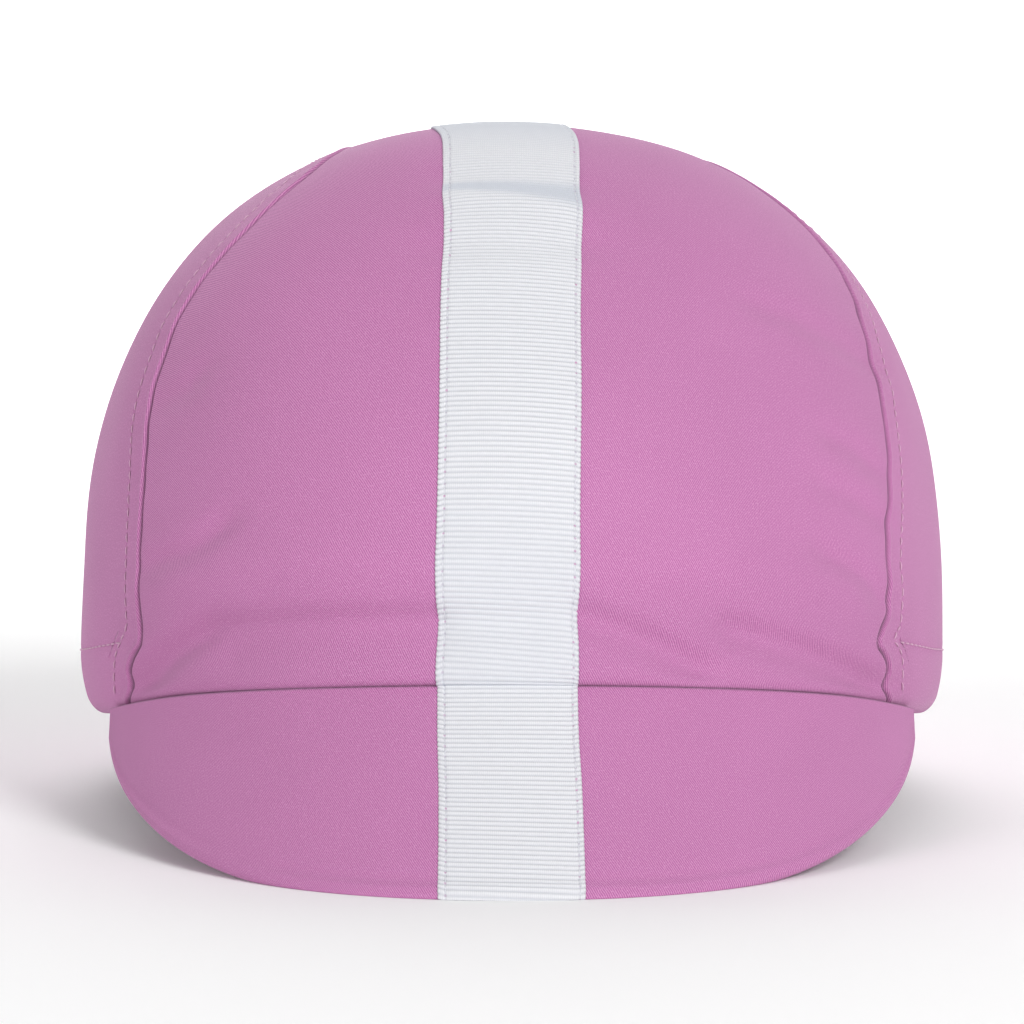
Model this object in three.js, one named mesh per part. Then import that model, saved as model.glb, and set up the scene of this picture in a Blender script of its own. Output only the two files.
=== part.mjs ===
// A cycling cap with a ribbon down its middle, in millimetres, with +Z up and its peak towards -Y.
// It is worked out on its rim, which lies in the plane z = 0 with the belt of the crown above it.
// At the end it is laid down as it rests by itself, on the peak's edge and the back of the rim.
// Left and right are as seen from the front, so left is -X.
import * as THREE from 'three';

// The crown is a dome whose widest line, its belt, is an oval.
// Each squareness is the power of an oval: 2 is round, and more is boxier.
const CROWN = {
  halfWidth: 82.1,
  frontReach: 101,
  backReach: 95,
  beltHeight: 18,
  rise: 94.1,
  planSquareness: 2.05,
  sideSquareness: 2.39,
  frontSquareness: 1.9,
  backSquareness: 2.2,
  topSquareness: 2.34,
  thickness: 1.2,
};

// The rim's lowest stretch rolls in, and the hem draws in a little above it.
const HEM = {
  height: 12,
  drawIn: 1.5,
  sideDrawIn: 0.7,
  rollHeight: 3,
  rollIn: 1.2,
  bandBottom: 3,
  bandThickness: 1,
  bandGap: 1.1,
};

const PEAK = {
  halfWidth: 75.4,
  outlineHalfWidth: 75.8,
  length: 45.1,
  slopeDegrees: 55.6,
  thickness: 2.4,
  edgeBulge: 0.5,
  acrossPower: 3.15,
  alongPower: 2.2,
};

const RIBBON = { width: 25.4, thickness: 1, lift: 0.6, endGap: 0.6, firstRow: 0.002 };

// Open joints between the pieces, how far the cloth gives where it rests, and where the middle
// of the cap's length lies in front of the belt's middle.
const SEAM_GAP = 0.5;
const PIECE_GAP = 0.3;
const FLATTENED = 0.8;
const MIDDLE_OF_LENGTH = -15.35;

// The seams between the centre panel and the sides. The angle goes round the belt's middle,
// from 0 at the front over 90 at the top to 180 at the back, and each width is from the middle.
const SEAM = [
  { angle: -20, left: 72, right: 70.7 },
  { angle: -13, left: 70.5, right: 69.4 },
  { angle: -8, left: 68.2, right: 67.1 },
  { angle: -2, left: 67.5, right: 68.4 },
  { angle: 8, left: 67.9, right: 68 },
  { angle: 17, left: 67.8, right: 68.7 },
  { angle: 27, left: 67.4, right: 69.2 },
  { angle: 37, left: 66.7, right: 68.3 },
  { angle: 44.5, left: 64, right: 67.6 },
  { angle: 50, left: 61.3, right: 66.2 },
  { angle: 60, left: 47.4, right: 63.7 },
  { angle: 68, left: 38, right: 59.5 },
  { angle: 77, left: 32, right: 48 },
  { angle: 86, left: 29.5, right: 36.5 },
  { angle: 96, left: 29, right: 32 },
  { angle: 130, left: 31, right: 31.5 },
  { angle: 165, left: 35, right: 35 },
  { angle: 205, left: 38.5, right: 38.5 },
];

// Folds and creases of the crown's front, as seen from the front: each goes from one point to
// another, bows up in its middle, and stands out from the cloth, or in where its height is negative.
const FOLDS = [
  { name: 'long left trough', from: [-68, 4], to: [-14, 11.3], bow: 6, width: 3.4, height: -1.4 },
  { name: 'swell above it', from: [-60, 22], to: [-14, 23], bow: 2, width: 5, height: 0.7 },
  { name: 'dip over the peak', from: [-4, 11], to: [2, 11], bow: 0, width: 3.4, height: -1.1 },
  { name: 'inner right trough', from: [12, 12], to: [33, 5], bow: 1, width: 3, height: -1.2 },
  { name: 'outer right trough', from: [40, 11], to: [68, 2.5], bow: 1.5, width: 3.2, height: -1.3 },
  { name: 'swell above both', from: [14, 23], to: [62, 21], bow: 1, width: 5, height: 0.7 },
  { name: 'low left pull', from: [-68, 23], to: [-53, 30], bow: -1, width: 2.4, height: -0.9 },
  { name: 'high left pull', from: [-67, 53], to: [-58, 59], bow: -1, width: 2.4, height: -0.6 },
  { name: 'low right pull', from: [58, 25], to: [69, 17], bow: 1, width: 2.4, height: -1.1 },
  { name: 'middle right pull', from: [60, 36.5], to: [69, 32], bow: 1, width: 2.2, height: -0.8 },
  { name: 'upper right pull', from: [60, 46], to: [69, 41], bow: 1, width: 2.2, height: -0.8 },
  { name: 'high right fold', from: [46, 71], to: [65, 63.5], bow: 1, width: 2.6, height: -0.8 },
  { name: 'hollow behind the crest', from: [-15, 96], to: [15, 94], bow: 0.6, width: 2.6, height: -0.9 },
  { name: 'crest near the top', from: [-15, 91.6], to: [15, 89], bow: 0.6, width: 2.4, height: 0.7 },
  { name: 'dip below the crest', from: [-18, 81.5], to: [18, 81.5], bow: 0, width: 3.6, height: -0.7 },
];

// The rim dips beside the peak's corners and arches over the ears. Both fade out upwards.
const RIM_WAVE = [
  { y: -101, height: 0 },
  { y: -70, height: -0.2 },
  { y: -42, height: -1.2 },
  { y: -30, height: -1.4 },
  { y: -14, height: -0.6 },
  { y: 4, height: 0.6 },
  { y: 20, height: 2.4 },
  { y: 36, height: 3.4 },
  { y: 60, height: 2.2 },
  { y: 80, height: 0.5 },
  { y: 90, height: 0 },
  { y: 95, height: 0 },
];
const WAVE_REACH = 26;

const twill = cloth(0xc883b2, 0.85);
const ribbed = cloth(0xe8e9ee, 0.6);

const BELT_MIDDLE = new THREE.Vector3(0, 0, CROWN.beltHeight);
const radians = THREE.MathUtils.degToRad;

function cloth(color, roughness) {
  return new THREE.MeshStandardMaterial({ color, roughness, metalness: 0, side: THREE.DoubleSide });
}

function mix(a, b, share) {
  return a + (b - a) * share;
}

// A smooth value between a table's rows, with each row's slope taken from its neighbours.
function between(table, key, column, at) {
  const last = table.length - 1;
  let i = 0;
  while (i < last - 1 && at > table[i + 1][key]) i += 1;
  const slope = (k) => {
    const before = table[Math.max(k - 1, 0)];
    const after = table[Math.min(k + 1, last)];
    return (after[column] - before[column]) / (after[key] - before[key]);
  };
  const span = table[i + 1][key] - table[i][key];
  const t = THREE.MathUtils.clamp((at - table[i][key]) / span, 0, 1);
  const rise = table[i + 1][column] - table[i][column];
  const bendStart = slope(i) * span - rise;
  const bendEnd = rise - slope(i + 1) * span;
  return table[i][column] + rise * t + t * (1 - t) * (bendStart * (1 - t) + bendEnd * t);
}

// How many times a direction from the belt's middle goes into the way to the cloth.
function crownScale(direction) {
  const front = direction.y < 0;
  const across = Math.abs(direction.x) / CROWN.halfWidth;
  const along = Math.abs(direction.y) / (front ? CROWN.frontReach : CROWN.backReach);
  const up = Math.max(direction.z, 0) / CROWN.rise;
  const level = Math.hypot(across, along, 1e-9);
  const endSquareness = front ? CROWN.frontSquareness : CROWN.backSquareness;
  const wallSquareness = mix(CROWN.sideSquareness, endSquareness, (along / level) ** 2);
  const power = mix(wallSquareness, CROWN.topSquareness, (up / Math.hypot(level, up)) ** 6);
  const planPower = CROWN.planSquareness;
  const plan = (across ** planPower + along ** planPower) ** (1 / planPower);
  return (plan ** power + up ** power) ** (-1 / power);
}

function towards(direction) {
  return direction.clone().multiplyScalar(crownScale(direction)).add(BELT_MIDDLE);
}

// The crown's point at a given width, at an angle round the belt's middle, found by halving.
function atWidth(x, angle) {
  let inside = 0;
  let outside = 2 * CROWN.frontReach;
  for (let halving = 0; halving < 40; halving += 1) {
    const radius = (inside + outside) / 2;
    const trial = new THREE.Vector3(x, -radius * Math.cos(angle), radius * Math.sin(angle));
    if (crownScale(trial) > 1) inside = radius;
    else outside = radius;
  }
  return new THREE.Vector3(x, -inside * Math.cos(angle), inside * Math.sin(angle)).add(BELT_MIDDLE);
}

// The rim's distance from the middle at a given width, and the angles at which it is met.
function rimReach(x, reach) {
  const power = CROWN.planSquareness;
  return reach * (1 - (Math.abs(x) / CROWN.halfWidth) ** power) ** (1 / power);
}

function rimAngles(x) {
  return {
    front: -Math.atan2(CROWN.beltHeight, rimReach(x, CROWN.frontReach)),
    back: Math.PI + Math.atan2(CROWN.beltHeight, rimReach(x, CROWN.backReach)),
  };
}

// The way out of the dome at a point, level below the belt so that the rim stays in its plane.
function outward(point) {
  const reach = point.y < 0 ? CROWN.frontReach : CROWN.backReach;
  const up = Math.max(point.z - CROWN.beltHeight, 0) / CROWN.rise ** 2;
  return new THREE.Vector3(point.x / CROWN.halfWidth ** 2, point.y / reach ** 2, up).normalize();
}

// A fold's height at a point: full on its bowed line, and less with the distance from it.
function foldHeight(point, fold) {
  const along = [fold.to[0] - fold.from[0], fold.to[1] - fold.from[1]];
  const length = Math.hypot(along[0], along[1]);
  const dx = point.x - fold.from[0];
  const dz = point.z - fold.from[1];
  const t = (dx * along[0] + dz * along[1]) / length ** 2;
  const middle = THREE.MathUtils.clamp(t, 0, 1);
  const bow = fold.bow * 4 * middle * (1 - middle) * Math.sign(along[0]);
  const aside = (dz * along[0] - dx * along[1]) / length - bow;
  const past = (t - middle) * length;
  const taper = Math.exp(-((past / (2 * fold.width)) ** 2));
  return fold.height * taper * Math.exp(-((aside / fold.width) ** 2));
}

// How far the cloth stands out of the plain dome: its folds at the front, and its hem all round.
// The hem draws in at the sides and the back, and less towards the peak, which holds it out.
function relief(point) {
  const front = point.y < 0;
  const folds = front ? FOLDS.reduce((sum, fold) => sum + foldHeight(point, fold), 0) : 0;
  const free = front ? (point.x / CROWN.halfWidth) ** 2 : 1;
  const low = Math.max(1 - point.z / HEM.height, 0);
  const lowest = Math.max(1 - point.z / HEM.rollHeight, 0);
  const drawIn = HEM.drawIn * free + HEM.sideDrawIn * (point.x / CROWN.halfWidth) ** 4;
  return folds * (1 - lowest) - drawIn * low ** 2 - HEM.rollIn * lowest ** 2;
}

function rimWave(point) {
  const low = THREE.MathUtils.clamp(1 - point.z / WAVE_REACH, 0, 1);
  const y = THREE.MathUtils.clamp(point.y, -CROWN.frontReach, CROWN.backReach);
  return between(RIM_WAVE, 'y', 'height', y) * low ** 2;
}

function onCloth(point, offset) {
  return point.clone().addScaledVector(outward(point), relief(point) + offset);
}

function seamWidth(side, angle) {
  return between(SEAM, 'angle', side < 0 ? 'left' : 'right', THREE.MathUtils.radToDeg(angle));
}

// A closed solid through equal loops of points. Each end is closed with strips that join the
// loop's first half to its second, and a solid that comes out inside out is turned.
function loft(sections) {
  const count = sections[0].length;
  const index = [];
  const quad = (a, b, c, d) => index.push(a, b, c, a, c, d);
  for (let s = 0; s < sections.length - 1; s += 1) {
    for (let k = 0; k < count; k += 1) {
      const next = (k + 1) % count;
      quad(s * count + k, s * count + next, (s + 1) * count + next, (s + 1) * count + k);
    }
  }
  const end = (sections.length - 1) * count;
  for (let k = 0, m = count - 1; k + 1 < m; k += 1, m -= 1) {
    if (k + 1 < m - 1) {
      quad(m, m - 1, k + 1, k);
      quad(end + k, end + k + 1, end + m - 1, end + m);
    } else {
      index.push(m, k + 1, k);
      index.push(end + k, end + k + 1, end + m);
    }
  }
  const points = sections.flat().map(laidDown);
  let volume = 0;
  for (let i = 0; i < index.length; i += 3) {
    volume += points[index[i]].dot(points[index[i + 1]].clone().cross(points[index[i + 2]]));
  }
  if (volume < 0) index.reverse();
  const geometry = new THREE.BufferGeometry();
  const coordinates = points.flatMap((p) => p.toArray());
  geometry.setAttribute('position', new THREE.Float32BufferAttribute(coordinates, 3));
  geometry.setIndex(index);
  return geometry;
}

// A cloth wall over the crown: its outer and inner faces are the same grid at two offsets.
function crownWall(pointAt, columns, rows, outer, inner) {
  const sections = columns.map((u) => {
    const line = rows.map((v) => pointAt(u, v));
    const outside = line.map((p) => onCloth(p, outer));
    const inside = line.map((p) => onCloth(p, inner)).reverse();
    return [...outside, ...inside];
  });
  return loft(sections);
}

function evenly(steps, from = 0, to = 1) {
  return Array.from({ length: steps + 1 }, (_, i) => mix(from, to, i / steps));
}

// Rows run across the cap from the rim's front, 0, over the top to the rim's back, 1. They go
// close together at the rolled rim and at the folds, and the back has the front's rows in reverse.
const TURN = 0.48;
const RISING_ROWS = [...evenly(2, 0, 0.014), ...evenly(4, 0.03, 0.09), ...evenly(13, 0.12, TURN)];
const FALLING_ROWS = RISING_ROWS.map((v) => 1 - v).reverse();
const ROWS = [...RISING_ROWS, 0.5, ...FALLING_ROWS];
const SIDE_COLUMNS = evenly(20);

function rowAngle(x, v) {
  const angles = rimAngles(x);
  return mix(angles.front, angles.back, v);
}

// The point at which a row meets a seam, found by putting the seam's width back in.
function seamPoint(side, v) {
  let x = 0;
  for (let round = 0; round < 12; round += 1) x = side * seamWidth(side, rowAngle(x, v));
  return atWidth(x, rowAngle(x, v));
}

// A panel's edge lies beside the seam, square to it: aside is positive on the side panel's side.
function seamEdge(side, v, aside) {
  const near = 0.002;
  const point = seamPoint(side, v);
  const along = seamPoint(side, Math.min(v + near, 1)).sub(seamPoint(side, Math.max(v - near, 0)));
  const square = along.cross(outward(point)).normalize();
  return towards(point.addScaledVector(square, side * aside).sub(BELT_MIDDLE));
}

// The centre panel shares the ribbon's columns, 1 being the ribbon's edge and 2 the seam.
function centrePanel() {
  const half = RIBBON.width / 2;
  const pointAt = (u, v) => {
    if (Math.abs(u) <= 1) return atWidth(u * half, rowAngle(u * half, v));
    const edge = seamEdge(Math.sign(u), v, -SEAM_GAP / 2);
    const share = Math.abs(u) - 1;
    const x = mix(Math.sign(u) * half, edge.x, share);
    return share === 1 ? edge : atWidth(x, rowAngle(x, v));
  };
  const columns = [...evenly(6, -2, -1), -0.5, 0, 0.5, ...evenly(6, 1, 2)];
  return crownWall(pointAt, columns, ROWS, 0, -CROWN.thickness);
}

// The crown's ribbon stops just above the peak's ribbon in front, and above the rim at the back.
function crownRibbon() {
  const half = RIBBON.width / 2;
  const pointAt = (u, v) => atWidth(u * half, rowAngle(u * half, v));
  const rows = [RIBBON.firstRow, ...ROWS.slice(1, -1)];
  const outer = RIBBON.lift + RIBBON.thickness;
  return crownWall(pointAt, evenly(4, -1, 1), rows, outer, RIBBON.lift);
}

// A side panel has four edges: the rim, and the seam's stretches up to the turn, over the top and
// down again. Directions from the belt's middle are blended between them and carried to the cloth.
function sidePanel(side) {
  const seam = (v) => seamEdge(side, v, SEAM_GAP / 2).sub(BELT_MIDDLE);
  const bearing = (foot) => Math.atan2(side * foot.x, -foot.y);
  const rim = (u) => {
    const turn = mix(bearing(seam(0)), bearing(seam(1)), u);
    const flat = new THREE.Vector3(side * Math.sin(turn), -Math.cos(turn), 0);
    return flat.multiplyScalar(crownScale(flat)).setZ(-CROWN.beltHeight);
  };
  const top = (u) => seam(mix(TURN, 1 - TURN, u));
  const front = (v) => seam(v * TURN);
  const back = (v) => seam(1 - v * TURN);
  const unit = (vector, weight) => vector.normalize().multiplyScalar(weight);
  const pointAt = (u, v) => {
    const direction = unit(rim(u), 1 - v);
    direction.add(unit(top(u), v)).add(unit(front(v), 1 - u)).add(unit(back(v), u));
    direction.sub(unit(rim(0), (1 - u) * (1 - v))).sub(unit(rim(1), u * (1 - v)));
    direction.sub(unit(top(0), (1 - u) * v)).sub(unit(top(1), u * v));
    return towards(direction);
  };
  return crownWall(pointAt, SIDE_COLUMNS, RISING_ROWS.map((v) => v / TURN), 0, -CROWN.thickness);
}

// The hem's turned-in band runs round the inside of the rim and meets itself at the back.
function hemBand() {
  const joint = PIECE_GAP / 2 / CROWN.backReach;
  const pointAt = (u, v) => {
    const turn = mix(joint - Math.PI, Math.PI - joint, u);
    const flat = new THREE.Vector3(Math.sin(turn), -Math.cos(turn), 0);
    return flat.multiplyScalar(crownScale(flat)).setZ(mix(HEM.bandBottom, HEM.height, v));
  };
  const outer = -CROWN.thickness - HEM.bandGap;
  return crownWall(pointAt, evenly(64), evenly(3), outer, outer - HEM.bandThickness);
}

// The peak hangs from the rim's front as a sheet that is bent only one way: every line down it
// has the same slope. Its outline is an oval of its own powers.
const slope = radians(PEAK.slopeDegrees);
const DOWN_THE_PEAK = new THREE.Vector3(0, -Math.cos(slope), -Math.sin(slope));

function peakRoot(x) {
  const rim = new THREE.Vector3(x, -rimReach(x, CROWN.frontReach), 0);
  return rim.addScaledVector(outward(rim), -HEM.rollIn).setZ(-PIECE_GAP);
}

// A point of the peak: down its slope from the root, and in or out of its upper face.
function peakPoint(x, down, offset) {
  const near = 0.1;
  const across = peakRoot(x + near).sub(peakRoot(x - near));
  const normal = across.cross(DOWN_THE_PEAK).normalize();
  if (normal.z < 0) normal.negate();
  return peakRoot(x).addScaledVector(DOWN_THE_PEAK, down).addScaledVector(normal, offset);
}

function peakLength(x) {
  const across = (Math.abs(x) / PEAK.outlineHalfWidth) ** PEAK.acrossPower;
  return PEAK.length * (1 - across) ** (1 / PEAK.alongPower);
}

// The peak's sections stand closer together towards its corners.
function peak() {
  const sections = evenly(28, -1, 1).map((share) => {
    const x = PEAK.halfWidth * Math.sin((share * Math.PI) / 2);
    const steps = evenly(7);
    const top = steps.map((v) => peakPoint(x, peakLength(x) * v, 0));
    const edge = peakPoint(x, peakLength(x) + PEAK.edgeBulge, -PEAK.thickness / 2);
    const under = steps.map((v) => peakPoint(x, peakLength(x) * v, -PEAK.thickness)).reverse();
    return [...top, edge, ...under];
  });
  return loft(sections);
}

function peakRibbon() {
  const half = RIBBON.width / 2;
  const sections = evenly(4, -half, half).map((x) => {
    const steps = evenly(6, RIBBON.endGap, peakLength(x));
    const top = steps.map((down) => peakPoint(x, down, RIBBON.lift + RIBBON.thickness));
    const under = steps.map((down) => peakPoint(x, down, RIBBON.lift)).reverse();
    return [...top, ...under];
  });
  return loft(sections);
}

// The cap leans until the peak's edge and the back of the rim stand at one height, then sinks
// by what the cloth gives, and what is below the floor is flattened onto it.
function laidDown(point) {
  const tip = peakPoint(0, PEAK.length, -PEAK.thickness);
  const heel = new THREE.Vector3(0, CROWN.backReach - HEM.drawIn - HEM.rollIn, 0);
  const lean = -Math.atan2(heel.z - tip.z, heel.y - tip.y);
  const floor = heel.y * Math.sin(lean) + FLATTENED;
  const height = point.z + rimWave(point);
  const y = point.y * Math.cos(lean) - height * Math.sin(lean);
  const z = point.y * Math.sin(lean) + height * Math.cos(lean) - floor;
  return new THREE.Vector3(point.x, y - MIDDLE_OF_LENGTH, Math.max(z, 0));
}

const cap = new THREE.Group();

function add(name, geometry, material) {
  const mesh = new THREE.Mesh(geometry, material);
  mesh.name = name;
  cap.add(mesh);
}

add('centre_panel', centrePanel(), twill);
add('side_panel_left', sidePanel(-1), twill);
add('side_panel_right', sidePanel(1), twill);
add('hem_band', hemBand(), twill);
add('peak', peak(), twill);
add('crown_ribbon', crownRibbon(), ribbed);
add('peak_ribbon', peakRibbon(), ribbed);

export default cap;
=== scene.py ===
# %% [markdown]
# # A cycling cap with a ribbon down its middle
# The cap is a soft dome of three cloth panels, a short stiff peak and a white ribbed ribbon.
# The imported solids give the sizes, and this lesson dresses them in sewn cloth.
# Loading the frame first means that every later piece is placed by the same numbers as the solids.

# %% Load the frame
import math

import bpy
import numpy as np
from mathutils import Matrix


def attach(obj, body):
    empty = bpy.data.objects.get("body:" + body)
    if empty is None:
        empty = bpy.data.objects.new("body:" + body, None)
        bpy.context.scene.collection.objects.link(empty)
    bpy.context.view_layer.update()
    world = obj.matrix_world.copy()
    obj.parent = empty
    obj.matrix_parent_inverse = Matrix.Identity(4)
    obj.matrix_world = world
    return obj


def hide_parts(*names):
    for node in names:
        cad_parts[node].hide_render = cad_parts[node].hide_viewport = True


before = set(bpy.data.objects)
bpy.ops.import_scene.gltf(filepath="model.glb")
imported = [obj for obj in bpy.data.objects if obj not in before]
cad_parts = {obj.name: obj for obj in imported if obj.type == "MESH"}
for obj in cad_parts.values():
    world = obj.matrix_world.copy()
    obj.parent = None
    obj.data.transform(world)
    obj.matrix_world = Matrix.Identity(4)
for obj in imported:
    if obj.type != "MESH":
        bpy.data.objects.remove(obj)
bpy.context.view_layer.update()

print("solids:", sorted(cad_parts))

# %% [markdown]
# ## The form of the crown
# A real crown gets its form from the head in it, so it is close to one smooth dome.
# It could be sculpted by hand, but a formula keeps all the panels on one surface.
# The widest line, the belt, is an oval, and a second oval carries the wall over the top.
# The power of an oval says how boxy it is: 2 is round, and more is squarer.

# %% The dome's sizes, in millimetres
HALF_WIDTH = 82.1
FRONT_REACH = 101.0
BACK_REACH = 95.0
BELT_HEIGHT = 18.0
RISE = 93.5
PLAN_POWER = 2.05
SIDE_POWER = 2.39
FRONT_POWER = 1.9
BACK_POWER = 2.2
TOP_POWER = 2.34
BELT_MIDDLE = np.array([0.0, 0.0, BELT_HEIGHT])


def crown_scale(way):
    """How many times a direction from the belt's middle goes into the way to the cloth.

    The plan's two shares are joined as an oval of PLAN_POWER. That share and the height's
    share are joined as a second oval, whose power changes round the crown and towards the top.
    """
    front = way[..., 1] < 0
    across = np.abs(way[..., 0]) / HALF_WIDTH
    along = np.abs(way[..., 1]) / np.where(front, FRONT_REACH, BACK_REACH)
    up = np.maximum(way[..., 2], 0) / RISE
    level = np.hypot(across, along) + 1e-9
    end_power = np.where(front, FRONT_POWER, BACK_POWER)
    wall_power = SIDE_POWER + (end_power - SIDE_POWER) * (along / level) ** 2
    power = wall_power + (TOP_POWER - wall_power) * (up / np.hypot(level, up)) ** 6
    plan = (across**PLAN_POWER + along**PLAN_POWER) ** (1 / PLAN_POWER)
    return (plan**power + up**power) ** (-1 / power)


def at_width(x, angle):
    """The crown's point at a width x and an angle round the belt's middle, by halving a radius."""
    x, angle = np.broadcast_arrays(np.asarray(x, float), np.asarray(angle, float))
    inside = np.zeros(x.shape)
    outside = np.full(x.shape, 2 * FRONT_REACH)
    for _ in range(34):
        radius = (inside + outside) / 2
        trial = np.stack([x, -radius * np.cos(angle), radius * np.sin(angle)], -1)
        within = crown_scale(trial) > 1
        inside = np.where(within, radius, inside)
        outside = np.where(within, outside, radius)
    return np.stack([x, -inside * np.cos(angle), inside * np.sin(angle)], -1) + BELT_MIDDLE


def belt_line(bearing):
    """Points of the belt's oval, at bearings from the front and at the height of the rim, 0."""
    way = np.stack([np.sin(bearing), -np.cos(bearing), np.zeros(len(bearing))], -1)
    return way * crown_scale(way)[:, None]


def unit(way):
    """Directions brought to a length of one."""
    return way / np.linalg.norm(way, axis=-1, keepdims=True)


def outward(points):
    """The way out of the dome: each coordinate over its own reach squared, level below the belt."""
    reach = np.where(points[..., 1] < 0, FRONT_REACH, BACK_REACH)
    up = np.maximum(points[..., 2] - BELT_HEIGHT, 0) / RISE**2
    return unit(np.stack([points[..., 0] / HALF_WIDTH**2, points[..., 1] / reach**2, up], -1))


print("crown top:", at_width(0, math.pi / 2))

# %% [markdown]
# ## Rows and seams
# A row runs from the rim's front, 0, over the top to the rim's back, 1.
# The panels meet at two seams, which a tailor would mark as widths from the middle line.
# A table of widths is easy to compare with the real cap, and a smooth curve joins its rows.

# %% The seams as widths from the middle
SEAMS = np.array(
    [
        # angle, left, right
        (-20, 72.8, 71.3),
        (-18.2, 72, 70.9),
        (-15.6, 71.3, 69.8),
        (-13.2, 70.9, 69.6),
        (-11.4, 70.1, 69.1),
        (-9.6, 69.1, 68.1),
        (-7.8, 67.9, 66.8),
        (-5.6, 67.5, 67.2),
        (-2.5, 67.6, 68.5),
        (0, 67.6, 68.5),
        (8, 68, 68.1),
        (17, 67.8, 68.8),
        (27, 67.3, 69.3),
        (37, 66.7, 68.3),
        (44.5, 64, 67.6),
        (50, 61.5, 66.3),
        (55, 56.5, 64.9),
        (60, 48.2, 63.9),
        (68, 38, 59.8),
        (77, 32, 48.8),
        (86, 29.5, 36.5),
        (96, 29, 32),
        (130, 31, 31.5),
        (165, 35, 35),
        (205, 38.5, 38.5),
    ]
)


def between(at, knots, values):
    """A smooth value between a table's rows: a cubic whose slopes come from each row's neighbours."""
    before = np.r_[0, np.arange(len(knots) - 1)]
    after = np.r_[np.arange(1, len(knots)), len(knots) - 1]
    slopes = (values[after] - values[before]) / (knots[after] - knots[before])
    i = np.clip(np.searchsorted(knots, at) - 1, 0, len(knots) - 2)
    span = knots[i + 1] - knots[i]
    t = np.clip((at - knots[i]) / span, 0, 1)
    rise = values[i + 1] - values[i]
    start = slopes[i] * span - rise
    end = rise - slopes[i + 1] * span
    return values[i] + rise * t + t * (1 - t) * (start * (1 - t) + end * t)


def rim_reach(x, reach):
    """The rim's distance from the middle at a width, from the oval of the belt."""
    share = np.minimum(np.abs(x) / HALF_WIDTH, 1)
    return reach * (1 - share**PLAN_POWER) ** (1 / PLAN_POWER)


def row_angle(x, v):
    """A row's angle round the belt's middle: v goes evenly from the rim's front to its back."""
    front = -np.arctan2(BELT_HEIGHT, rim_reach(x, FRONT_REACH))
    back = math.pi + np.arctan2(BELT_HEIGHT, rim_reach(x, BACK_REACH))
    return front + (back - front) * v


def seam_line(side, v):
    """Points of a seam at the rows v, found by putting the seam's width back in until it settles."""
    column = SEAMS[:, 1] if side < 0 else SEAMS[:, 2]
    x = np.full(np.shape(v), 60.0 * side)
    for _ in range(14):
        x = side * between(np.degrees(row_angle(x, v)), SEAMS[:, 0], column)
    return at_width(x, row_angle(x, v))


SEAM_ROWS = np.linspace(0, 1, 1401)
SEAM_PATHS = {side: seam_line(side, SEAM_ROWS) for side in (-1, 1)}


def lengths_along(path):
    """The length of a path up to each of its points."""
    steps = np.linalg.norm(np.diff(path, axis=0), axis=1)
    return np.r_[0, np.cumsum(steps)]


def on_path(lengths, along, values):
    """What three columns, given at the points of a path, are at lengths along it."""
    return np.stack([np.interp(lengths, along, values[:, i]) for i in range(3)], -1)


SIDES = ((-1, "left"), (1, "right"))
for side, word in SIDES:
    print("seam", word, round(lengths_along(SEAM_PATHS[side])[-1]), "mm")


# %% How far a point is from a seam, and where along it
def from_seam(points, side):
    """The distance from a seam, and the length along it to the nearest place.

    The nearest point of the seam's path is found first. The way from there is then split into
    a part along the path, which is added to the length, and the distance square to it.
    """
    path = SEAM_PATHS[side]
    along = lengths_along(path)
    tangent = unit(np.gradient(path, axis=0))
    flat = points.reshape(-1, 3)
    nearest = np.empty(len(flat), int)
    for start in range(0, len(flat), 4000):
        part = flat[start : start + 4000].astype(np.float32)
        squares = (path.astype(np.float32) ** 2).sum(1) - 2 * part @ path.T.astype(np.float32)
        nearest[start : start + 4000] = squares.argmin(1)
    way = flat - path[nearest]
    step = (way * tangent[nearest]).sum(1)
    inner = (nearest > 0) & (nearest < len(path) - 1)
    step = np.where(inner, np.clip(step, -0.2, 0.2), 0)
    distance = np.linalg.norm(way - tangent[nearest] * step[:, None], axis=1)
    shape = points.shape[:-1]
    return distance.reshape(shape), (along[nearest] + step).reshape(shape)


# %% [markdown]
# ## Folds, hem and small waves
# Worn cloth keeps soft troughs where it is pulled, mostly above the peak and beside the seams.
# They could be simulated, but the real folds are known, so each one is named and placed.
# A fold is a bowed line that pushes the cloth in or out, and fades with the distance from it.

# %% The folds of the crown's front
def bell(distance, width):
    """A bell curve: 1 at no distance, 0.37 at one width, and almost 0 at two."""
    return np.exp(-((distance / width) ** 2))


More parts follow.
